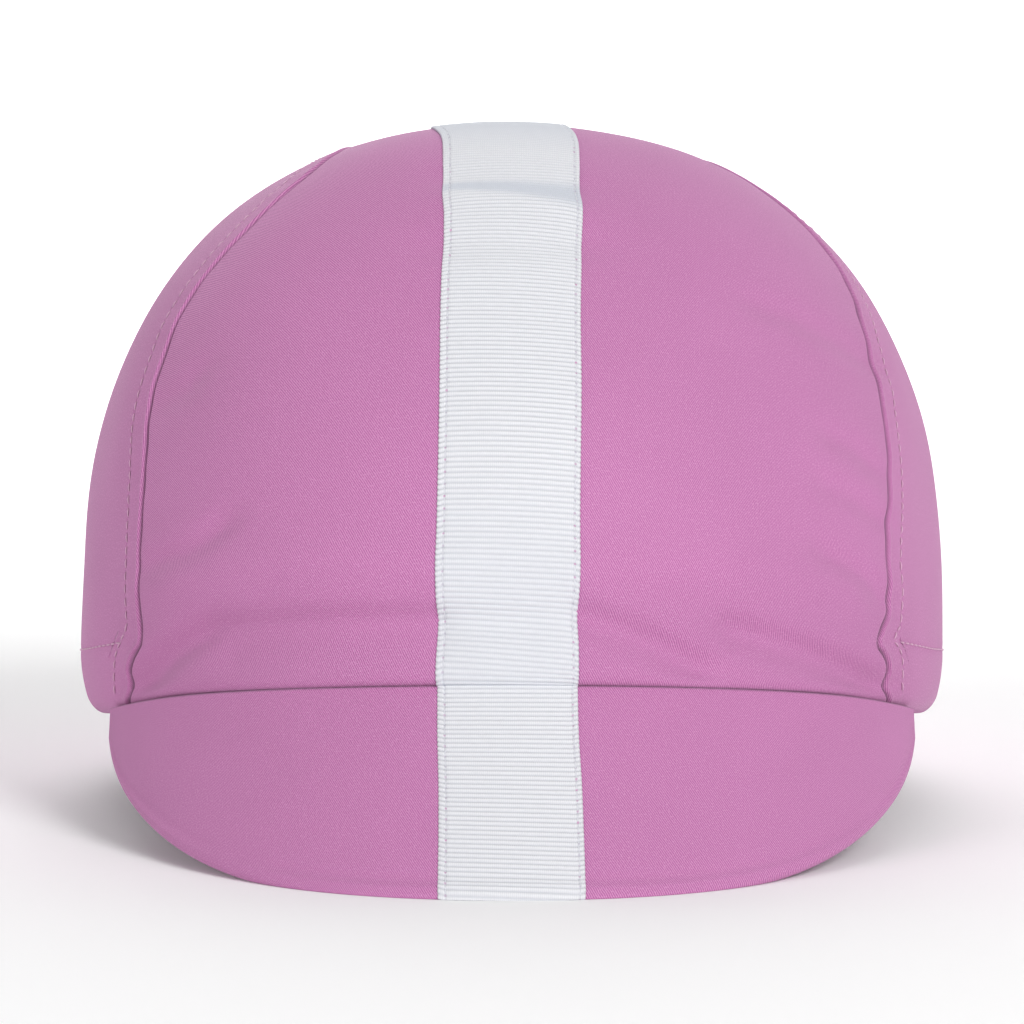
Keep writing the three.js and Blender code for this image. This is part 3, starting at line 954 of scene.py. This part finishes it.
def round_the_peak(x, place, height):
    """A point round the peak: 0 to 1 down its upper face, 1 to 2 over the nose, 2 to 3 back below.

    The nose is a half circle of half the thickness. Towards the corners the section thins as
    an oval, and just inside the edge the folded cloth makes a low ridge and a shallow dip.
    The under cloth goes on past the root by UNDER_TUCK, up inside the rim, as it is sewn.
    """
    x, place = np.broadcast_arrays(np.asarray(x, float), np.asarray(place, float))
    length = peak_length(x)
    past = np.clip((np.abs(x) - PEAK_HALF_WIDTH + HALF_THICK) / HALF_THICK, 0, 1)
    thin = np.sqrt(1 - past**2)
    turn = np.clip(place - 1, 0, 1) * math.pi
    back = np.clip(place - 2, 0, 1)
    inset = length * (1 - np.clip(place, 0, 1))
    long = np.clip((length - 6) / 14, 0, 1)
    ridge = EDGE_RIDGE * long * bell(inset - 1, 0.9)
    dip = EDGE_DIP * long * bell(inset - 3, 1)
    lift = np.where(place < 1, ridge - dip, EDGE_RIDGE * long * 0.3 * (1 + np.cos(turn)) / 2) + height
    down = length * np.clip(place, 0, 1) + (HALF_THICK + lift) * np.sin(turn) * thin
    offset = (-HALF_THICK + (HALF_THICK + lift) * np.cos(turn)) * thin
    return peak_point(x, down - back * (length + UNDER_TUCK * thin), offset)


# %% Build the peak
SECTIONS = 180
ROOT_STEPS = [0, 0.2, 0.4, 0.6, 0.8, 1.1]
NOSE_STEPS = [0, 0.35, 0.7, 1.05, 1.4, 1.8, 2.3, 2.9, 3.6]
NOSE_SEAM_AT = 1.62
NOSE_SEAM_DEPTH = 0.3
section = np.linspace(-1, 1, SECTIONS + 1)
peak_x = (PEAK_HALF_WIDTH * np.sin(section * math.pi / 2))[:, None]
face_places = spread(ROOT_STEPS, 0.9, NOSE_STEPS, PEAK_LENGTH)
nose_places = 1 + np.linspace(0, 1, 15)[1:-1]
notch = np.where(np.abs(nose_places - NOSE_SEAM_AT) < 0.04, -NOSE_SEAM_DEPTH, 0)
places = np.concatenate([face_places, nose_places, 3 - face_places[::-1][::2]])
heights = np.concatenate([0 * face_places, notch, 0 * face_places[::2]])
loops = round_the_peak(peak_x, places, heights)
columns, rounds = loops.shape[:2]
numbers, peak_sides = tube_faces(columns, rounds)
loop_mm = lengths_along(loops[columns // 2])
root_mm = lengths_along(peak_root(peak_x[:, 0]))
root_mm -= root_mm[columns // 2]
peak_map = spread_out(root_mm[:, None], -loop_mm)
# Painted shade on the peak's face just below its root, under the crown's crease.
peak_shade = np.where(places < 1, SEAM_SHADE * bell(places * PEAK_LENGTH, 0.32), 0)
peak_cover = make_mesh(
    "peak_cover",
    laid_down(loops.reshape(-1, 3)),
    np.concatenate([peak_sides, end_fan(numbers[0]), end_fan(numbers[-1])[:, ::-1]]),
    peak_map.reshape(-1, 2),
    twill,
    np.broadcast_to(peak_shade, loops.shape[:2]),
)
stand_for(peak_cover, "peak")
print("peak_cover", len(peak_cover.data.polygons), "faces")

# %% [markdown]
# ## The ribbon
# The ribbon is grosgrain: thick weft threads make a rib every millimetre, and turn back at
# each edge in a small loop. The ribs show in its outline, so they are modelled, and painted shade
# darkens the grooves between them.
# Each row of points lies along a rib, because rows across the ribs would break up their light.

# %% The ribbon's own sizes
RIBBON_WIDTH = 25.2
RIB_PITCH = 1.0
RIB_HEIGHT = 0.3
RIB_ROUNDNESS = 0.8
RIBBON_BASE = 0.14
STITCH_DENT = 0.16
LOOP_REACH = 0.26
LOOP_WIDTH = 0.9
ROWS_PER_RIB = 6
LEFT_STITCH = 1.3
RIGHT_STITCH = 24.25
EDGE_COLUMNS = [0, 0.14, 0.34, 0.6, 0.85, 1.05, 1.18, 1.3, 1.42, 1.6, 1.95, 2.6]
BODY_COLUMNS = [4.5, 7.2, 9.9, 12.6, 15.3, 18, 20.7]
RIGHT_COLUMNS = [22.6, 23.3, 23.75, 24, 24.13, 24.25, 24.37, 24.52, 24.7, 24.88, 25.06, 25.2]
ribbon_columns = np.array(EDGE_COLUMNS + BODY_COLUMNS + RIGHT_COLUMNS)


def rib_profile(aside, row):
    """The ribbon's height at a distance from its left edge: a rounded rib in each pitch.

    A rib is the sine of half a turn. Narrow bell curves press in the two lines of stitches,
    and quarter circles round off the edges.
    """
    rib = np.abs(np.sin(math.pi * row / ROWS_PER_RIB)) ** RIB_ROUNDNESS
    inset = np.minimum(aside, RIBBON_WIDTH - aside)
    edge = np.sqrt(1 - np.clip(1 - inset / 0.3, 0, 1) ** 2)
    pressed = bell(aside - LEFT_STITCH, 0.15) + bell(aside - RIGHT_STITCH, 0.15)
    return edge * (RIBBON_BASE + RIB_HEIGHT * rib) - STITCH_DENT * pressed, rib


def rib_sideways(aside, rib):
    """How far the edge loops stand out sideways: most on a rib, and none LOOP_WIDTH further in."""
    left = np.clip(1 - aside / LOOP_WIDTH, 0, 1)
    right = np.clip(1 - (RIBBON_WIDTH - aside) / LOOP_WIDTH, 0, 1)
    return LOOP_REACH * (rib - 0.6) * (right - left)


# %% The line of the ribbon over the crown
ARC_ROWS = np.linspace(0, 1, 2401)
middle_line = at_width(0.0, row_angle(0.0, ARC_ROWS))
arc_mm = lengths_along(on_cloth(middle_line, relief(middle_line)))
CROWN_RIBBON = np.array(
    [
        # length from the peak, shift of the middle, lean of the ribs in degrees
        (0, -0.85, 0.5),
        (5, -0.85, 4.6),
        (14, -0.8, 3),
        (32, -0.62, 2.2),
        (56, -0.3, 2.5),
        (73, -0.27, 2.7),
        (88, 0, 3),
        (100, 0.2, 3.4),
        (107, -0.1, 1.5),
        (128, -0.2, 2.2),
        (135, -0.7, 2.2),
        (141, -1.6, 2),
        (148, -2.4, 2),
        (165, -2.8, 1),
        (230, -1.2, 0),
        (330, 0, 0),
        (420, 0, 0),
    ]
)


def crown_ribbon_point(length, aside, height):
    """A point of the ribbon over the crown: its rib's length, its place across, and its height."""
    lean_deg = between(length, CROWN_RIBBON[:, 0], CROWN_RIBBON[:, 2])
    across = aside - RIBBON_WIDTH / 2
    place = length - np.tan(np.radians(lean_deg)) * across
    place = np.clip(place, 0, arc_mm[-1])
    x = between(place, CROWN_RIBBON[:, 0], CROWN_RIBBON[:, 1]) + across
    dome = at_width(x, row_angle(x, np.interp(place, arc_mm, ARC_ROWS)))
    return on_cloth(dome, relief(dome) + height)


PEAK_RIBBON = np.array(
    [
        # length from the crown, shift of the middle, width, lean of the ribs in degrees
        (0, -0.8, 25.1, 0),
        (11, -0.7, 25.2, 0.5),
        (21, -0.35, 25.4, 1.2),
        (32, -0.15, 25.6, 2),
        (45, -0.05, 25.9, 2),
        (60, 0, 25.9, 0),
    ]
)


def peak_ribbon_point(length, aside, height):
    """A point of the ribbon on the peak, which follows it over the nose and a little way below."""
    shift, width, lean_deg = (between(length, PEAK_RIBBON[:, 0], PEAK_RIBBON[:, i]) for i in (1, 2, 3))
    across = (aside / RIBBON_WIDTH - 0.5) * width
    place = np.maximum(length + np.tan(np.radians(lean_deg)) * across, 0)
    x = shift + across
    face = peak_length(x)
    turn = np.clip((place - face) / (HALF_THICK * math.pi), 0, 1)
    back = np.maximum(place - face - HALF_THICK * math.pi, 0) / face
    return round_the_peak(x, np.minimum(place / face, 1) + turn + back, height)


# %% Where shade is painted on the ribbon
# Shares of painted shade on the ribbon: at its bend over the peak, on its up-facing shelf, over the
# top and low down.
BEND_WIDTH = 0.5
BEND_SHADE = 0.45
BEND_HALO = 0.18
PEAK_BEND_SHADE = 0.35
SHELF_AT = 107.2
SHELF_SLANT = 0.1
SHELF_WIDTH = 3.3
SHELF_WIDENS = 0.11
SHELF_SHADE = 0.6
TOP_SHADE = 0.5
LOW_SHADE = 0.12


def painted_crown_ribbon_shade(aside, length):
    """How much painted shade the ribbon gets: low down, at its bend over the peak, on its shelf, and
    on top.

    The bend is a bell curve of the length, and the shelf a squarer one, which widens to the
    right. The low part and the top fade in and out evenly.
    """
    across = aside - RIBBON_WIDTH / 2
    bend = BEND_SHADE * bell(length, BEND_WIDTH) + BEND_HALO * bell(length, 3)
    from_shelf = length - SHELF_AT + SHELF_SLANT * across
    shelf = SHELF_SHADE * np.exp(-((from_shelf / (SHELF_WIDTH + SHELF_WIDENS * across)) ** 4))
    over_top = TOP_SHADE * np.clip((length - 122) / 22, 0, 1) * np.clip((250 - length) / 60, 0, 1)
    low = LOW_SHADE * np.clip((40 - length) / 20, 0, 1)
    return np.maximum(np.maximum(bend, low), np.maximum(shelf, over_top))


def painted_peak_ribbon_shade(aside, length):
    """How much painted shade the peak's ribbon gets: only at the bend under the crown, by a bell
    curve.
    """
    return PEAK_BEND_SHADE * bell(length, BEND_WIDTH) + 0 * aside


# %% A ribbon from its line
RIBBON_OVER_CLOTH = 0.06
SELVAGE_SLANT = 0.3
UNDER_PLACES = [0, 11, 14, 15, 16, 19, 30]


def make_ribbon(name, point_at, first, last, material, shade_at):
    """A closed strip: ribbed above, plain below with fewer columns, and its ends closed.

    UNDER_PLACES says which columns the underside keeps, an odd number of columns apart.
    """
    first_row, last_row = (round(end / RIB_PITCH) * ROWS_PER_RIB for end in (first, last))
    rows = np.arange(first_row, last_row + 1)
    lengths = rows[:, None] * RIB_PITCH / ROWS_PER_RIB
    height, rib = rib_profile(ribbon_columns, rows[:, None])
    aside = ribbon_columns + rib_sideways(ribbon_columns, rib)
    inset = np.minimum(ribbon_columns, RIBBON_WIDTH - ribbon_columns)
    slant = SELVAGE_SLANT * np.clip(1 - inset / LEFT_STITCH, 0, 1)
    above = point_at(lengths - slant, aside, height + RIBBON_OVER_CLOTH)
    under = ribbon_columns[UNDER_PLACES[::-1]]
    below = point_at(lengths, under + 0 * lengths, RIBBON_OVER_CLOTH)
    loops = np.concatenate([above, below], axis=1)
    numbers, sides = tube_faces(*loops.shape[:2])
    flat = spread_out(np.r_[ribbon_columns, under], lengths)
    piece = make_mesh(
        name,
        laid_down(loops.reshape(-1, 3)),
        np.concatenate([sides, end_faces(numbers[0]), end_faces(numbers[-1])[:, ::-1]]),
        flat.reshape(-1, 2),
        material,
        shade_at(flat[..., 0], flat[..., 1]),
    )
    print(name, len(piece.data.polygons), "faces,", round(float(lengths[-1, 0])), "mm long")
    return piece


def end_faces(ring):
    """The faces that close one end of the ribbon: a fan between each two columns of its underside."""
    fans = []
    for place in range(len(UNDER_PLACES) - 1):
        above = ring[UNDER_PLACES[place] : UNDER_PLACES[place + 1] + 1]
        right_below = ring[-2 - place]
        left_below = ring[-1 - place]
        fans.append(end_fan(np.r_[above, right_below, left_below]))
    return np.concatenate(fans)


# %% Grosgrain, its threads and its needle holes
THREAD_SPACING = 0.34
STITCH_PITCH = 2.3
# The grey between the ribs is painted shade; the ribs keep the ribbon's own white.
GROOVE_SHADE = (203, 204, 210)
RIB_WHITE = (232, 232, 235)
THREAD_SHADE = (196, 198, 206)
FUZZ_GREY = (212, 214, 222)
# Painted shade along the stitch grooves and in the needle holes; the pink is the cloth seen through
# some holes.
STITCH_LINE_SHADE = (205, 207, 215)
HOLE_SHADE = (186, 178, 194)
CLOTH_IN_HOLE = (205, 132, 180)
RIBBON_SHADE_COLOUR = (190, 196, 208)


def ribbon_material():
    """White grosgrain with fine threads and pink cloth in some needle holes, and painted shade between
    the ribs and threads, along the stitches, in the needle holes and in its creases.
    """
    material, tree, shader, place = new_material("white ribbon", 0.6, 0.15)
    cross = link_up(tree, "ShaderNodeSeparateXYZ", {"Vector": place})
    across, along = cross.outputs["X"], cross.outputs["Y"]
    wave = math_node(tree, "SINE", times(tree, along, math.pi / RIB_PITCH))
    rib = math_node(tree, "POWER", math_node(tree, "ABSOLUTE", wave), RIB_ROUNDNESS)
    ribbed = mixed(tree, rib, GROOVE_SHADE, RIB_WHITE)
    # The fine thread lines are painted shade between the ribbon's threads, which the bump also raises.
    fine = turned(tree, place, 0, WAVE_LENGTH / THREAD_SPACING)
    threads = thread_lines(tree, fine, 3, 2, 1.5)
    woven = mixed(tree, times(tree, threads, 0.34), ribbed, THREAD_SHADE)
    fuzz = noise(tree, place, 1.9, 3)
    soft = mixed(tree, times(tree, fuzz, 0.22), woven, FUZZ_GREY)
    pitch = math_node(tree, "WRAP", along, STITCH_PITCH / 2, -STITCH_PITCH / 2)
    along_square = times(tree, pitch, pitch)
    holes, lines = 0, 0
    for at in (LEFT_STITCH, RIGHT_STITCH):
        aside = math_node(tree, "SUBTRACT", across, at)
        square = times(tree, aside, aside)
        far = math_node(tree, "ADD", square, along_square)
        holes = math_node(tree, "MAXIMUM", holes, ranged(tree, far, (0.02, 0.07), (1, 0)))
        lines = math_node(tree, "MAXIMUM", lines, ranged(tree, square, (0.005, 0.03), (1, 0)))
    sewn = mixed(tree, times(tree, lines, 0.5), soft, STITCH_LINE_SHADE)
    dotted = mixed(tree, times(tree, holes, 0.55), sewn, HOLE_SHADE)
    seen = ranged(tree, noise(tree, place, 0.23, 1), (0.46, 0.66))
    pink_share = times(tree, times(tree, holes, seen), 0.6)
    stitched = mixed(tree, pink_share, dotted, CLOTH_IN_HOLE)
    # The ribbon's painted shade: at its bend, its shelf, its top and low down.
    colour = seam_shadow(tree, stitched, RIBBON_SHADE_COLOUR)
    height = math_node(tree, "ADD", times(tree, threads, 0.6), fuzz)
    finish_shader(tree, shader, colour, height, 0.5, 0.00007)
    return material


# %% Build the two ribbons
PEAK_RIBBON_END = 56
white_ribbon = ribbon_material()
ribbon_crown = make_ribbon(
    "ribbon_crown", crown_ribbon_point, 0, arc_mm[-1] - 1, white_ribbon, painted_crown_ribbon_shade
)
stand_for(ribbon_crown, "crown_ribbon")
ribbon_peak = make_ribbon(
    "ribbon_peak", peak_ribbon_point, 0, PEAK_RIBBON_END, white_ribbon, painted_peak_ribbon_shade
)
stand_for(ribbon_peak, "peak_ribbon")

# %% [markdown]
# ## Stitches
# A machine stitch is a short piece of thread that comes up through the cloth and goes down again.
# Each one is a small tube on a low arch, and a whole line of them is one mesh.


# %% Tubes for stitches
STITCH_RINGS = 7
STITCH_SIDES = 6
THREAD_END = 0.35
THREAD_SUNK = 0.6


def make_stitches(name, starts, ends, ups, radius, rise, material, slot):
    """A row of stitches: tubes of six sides, on arches that rise by a half sine between two ends."""
    t = np.linspace(0, 1, STITCH_RINGS)
    arch = np.sin(math.pi * t)
    middle = starts[:, None] + (ends - starts)[:, None] * t[:, None]
    middle = middle + ups[:, None] * (rise * arch - radius * THREAD_SUNK)[:, None]
    aside = np.cross(unit(ends - starts), ups)
    turn = np.arange(STITCH_SIDES) * 2 * math.pi / STITCH_SIDES
    thick = radius * (THREAD_END + (1 - THREAD_END) * np.sqrt(np.clip(arch, 0, 1)))
    ring = aside[:, None, None] * np.cos(turn)[:, None] + ups[:, None, None] * np.sin(turn)[:, None]
    points = middle[:, :, None] + ring * thick[:, None, None]
    numbers, tube = tube_faces(STITCH_RINGS, STITCH_SIDES)
    one = np.concatenate([tube, end_fan(numbers[0]), end_fan(numbers[-1])[:, ::-1]])
    faces = (one + np.arange(len(starts))[:, None, None] * numbers.size).reshape(-1, 4)
    flat = spread_out(t[:, None] * 2, turn / STITCH_SIDES).reshape(-1, 2)
    piece = make_mesh(
        name,
        laid_down(points.reshape(-1, 3)),
        faces,
        np.tile(flat, (len(starts), 1)),
        material,
    )
    stand_for(piece, None)
    print(name, len(starts), "stitches")


def thread_material(name, colour, shade):
    """Sewing thread: a smooth twist, whose darker tone is painted shade in the grooves between its
    plies.
    """
    material, tree, shader, place = new_material(name, 0.55, 0.2)
    twist = thread_lines(tree, turned(tree, place, math.radians(40), 2.2), 0.5, 2, 1)
    twisted = mixed(tree, twist, shade, colour)
    finish_shader(tree, shader, twisted, twist, 0.4, 0.00005)
    return material


def sew_along(name, line, height, pitch, share, rise, material):
    """Stitches on the cloth along a line of the dome, each as long as a share of the pitch."""
    path = on_cloth(line, height)
    along = lengths_along(path)
    count = int((along[-1] - pitch) / pitch)
    begin = pitch * (np.arange(count) + 0.5)
    ends = (on_path(at, along, path) for at in (begin, begin + pitch * share))
    up = unit(on_path(begin, along, outward(line)))
    make_stitches(name, *ends, up, PINK_THREAD_RADIUS, rise, material, "twill")


# %% Sew the ribbon down
WHITE_THREAD_RADIUS = 0.15
STITCH_SHARE = 0.8
STITCH_RISE = 0.08
white_thread = thread_material("white thread", (232, 232, 237), (208, 208, 216))


def ribbon_stitches(name, point_at, first, last):
    """Two lines of stitches that hold a ribbon, between its needle holes."""
    starts = np.arange(math.ceil(first / STITCH_PITCH), int(last / STITCH_PITCH)) * STITCH_PITCH
    lengths = np.concatenate([starts, starts])[:, None] + STITCH_PITCH * (1 - STITCH_SHARE) / 2
    aside = np.repeat([LEFT_STITCH, RIGHT_STITCH], len(starts))[:, None]
    height = RIBBON_OVER_CLOTH + RIBBON_BASE + RIB_HEIGHT * 0.35
    begin = point_at(lengths, aside, height)[:, 0]
    end = point_at(lengths + STITCH_PITCH * STITCH_SHARE, aside, height)[:, 0]
    up = point_at(lengths + STITCH_PITCH / 2, aside, height + 1)[:, 0]
    up = unit(up - point_at(lengths + STITCH_PITCH / 2, aside, height)[:, 0])
    make_stitches(name, begin, end, up, WHITE_THREAD_RADIUS, STITCH_RISE, white_thread, "ribbon")


ribbon_stitches("stitches_crown_ribbon", crown_ribbon_point, 2, arc_mm[-1] - 2)
ribbon_stitches("stitches_peak_ribbon", peak_ribbon_point, 1, PEAK_RIBBON_END - 1)

# %% Sew the side panels' edges
PINK_THREAD_RADIUS = 0.17
TOPSTITCH_OVER = 0.17
pink_thread = thread_material("pink thread", (222, 178, 206), (202, 152, 184))
for side, word in SIDES:
    seam_length = lengths_along(SEAM_PATHS[side])[-1]
    beside = beside_seam(side, np.arange(2, seam_length - 2, 0.25), np.array([TOPSTITCH_AT]))[0]
    height = side_height(beside, side) + TOPSTITCH_OVER
    sew_along(f"stitches_seam_{word}", beside, height, 2.4, 0.72, 0.12, pink_thread)

# %% Sew the hem
HEM_STITCH_OVER = 0.18
HEM_PAST_SEAM = 1.5
hem_line = belt_line(np.linspace(-math.pi, math.pi, 900))
hem_line[:, 2] = hem_stitch_height(hem_line[:, 1])
front_x = np.abs(seam_line(1, np.array([0.03])))[0, 0] + HEM_PAST_SEAM
open_front = (hem_line[:, 1] < 0) & (np.abs(hem_line[:, 0]) < front_x)
beyond = hem_line[~open_front]
hem_line = np.roll(beyond, -int((beyond[:, 0] < 0).sum()), axis=0)
hem_height = relief(hem_line) - hem_groove(hem_line) + HEM_STITCH_OVER
sew_along("stitches_hem", hem_line, hem_height, 2.6, 0.75, 0.1, pink_thread)

# %% [markdown]
# ## Room, light and camera
# The cap lies on a plain pale floor that sweeps up behind it.
# The light is soft and comes a little more from the right, as in the photograph.
# A long lens from 1.3 metres keeps the peak and the crown in the photograph's proportions.

# %% The camera
CAMERA_PLACE = (0.0, -1.2727, 0.1832)
CAMERA_DOWN = math.radians(5.72)
FOCAL_PIXELS = 6803.0
IMAGE_PIXELS = 1024
camera_data = bpy.data.cameras.new("camera")
camera_data.sensor_width = 36
camera_data.lens = FOCAL_PIXELS / IMAGE_PIXELS * camera_data.sensor_width
camera_data.clip_end = 20
camera = bpy.data.objects.new("camera", camera_data)
camera.location = CAMERA_PLACE
camera.rotation_euler = (math.pi / 2 - CAMERA_DOWN, 0, 0)
bpy.context.scene.collection.objects.link(camera)
bpy.context.scene.camera = camera
print("lens", round(camera_data.lens, 1), "mm")

# %% The floor and the backdrop
SWEEP_START = 1.2
SWEEP_RADIUS = 1.0
SWEEP_END = SWEEP_START + SWEEP_RADIUS
FLOOR_FRONT = -4
WALL_TOP = 4
HALF_STAGE = 5
PAPER_WHITE = 0.97
PAPER_GLOW = 0.05
sweep_angle = np.linspace(0, math.pi / 2, 24)
bend_y = SWEEP_START + SWEEP_RADIUS * np.sin(sweep_angle)
profile_y = np.concatenate([[FLOOR_FRONT, 0], bend_y, [SWEEP_END]])
profile_z = np.concatenate([[0, 0], SWEEP_RADIUS * (1 - np.cos(sweep_angle)), [WALL_TOP]])
stage_x = np.linspace(-HALF_STAGE, HALF_STAGE, 11)
stage_points = spread_out(stage_x, profile_y[:, None], profile_z[:, None]).reshape(-1, 3)
paper = bpy.data.materials.new("white paper")
paper.use_nodes = True
paper_shader = paper.node_tree.nodes["Principled BSDF"]
paper_shader.inputs["Base Color"].default_value = (PAPER_WHITE, PAPER_WHITE, PAPER_WHITE, 1)
paper_shader.inputs["Roughness"].default_value = 0.9
paper_shader.inputs["Emission Color"].default_value = (1, 1, 1, 1)
paper_shader.inputs["Emission Strength"].default_value = PAPER_GLOW
sweep = make_mesh(
    "sweep",
    stage_points,
    grid_faces(len(profile_y), len(stage_x)),
    stage_points[:, :2],
    paper,
)

# %% The lights
ROOM_LIGHT = 0.3
world = bpy.data.worlds.new("soft room")
bpy.context.scene.world = world
world.use_nodes = True
world.node_tree.nodes["Background"].inputs["Color"].default_value = (1, 1, 1, 1)
world.node_tree.nodes["Background"].inputs["Strength"].default_value = ROOM_LIGHT


def soft_light(name, place, aim, size, power):
    """A square lamp at a place in metres, turned towards its aim, with its side and its watts."""
    lamp = bpy.data.lights.new(name, "AREA")
    lamp.size = size
    lamp.energy = power
    holder = bpy.data.objects.new(name, lamp)
    holder.location = place
    towards = np.array(aim) - np.array(place)
    flat = math.hypot(towards[0], towards[1])
    holder.rotation_euler = (
        math.atan2(flat, -towards[2]),
        0,
        math.atan2(towards[1], towards[0]) - math.pi / 2,
    )
    bpy.context.scene.collection.objects.link(holder)


soft_light("key", (1.1, -1.9, 1.2), (0, 0, 0.06), 0.9, 38.5)
soft_light("fill", (-2.0, -1.65, 0.75), (0, 0, 0.06), 1.6, 18)
soft_light("back", (0, 1.5, 1.2), (0, 1.0, 0), 1.6, 13)
soft_light("backdrop", (0, 0.9, 1.0), (0, 2.0, 0.2), 0.8, 12)
bpy.context.scene.view_settings.view_transform = "Standard"
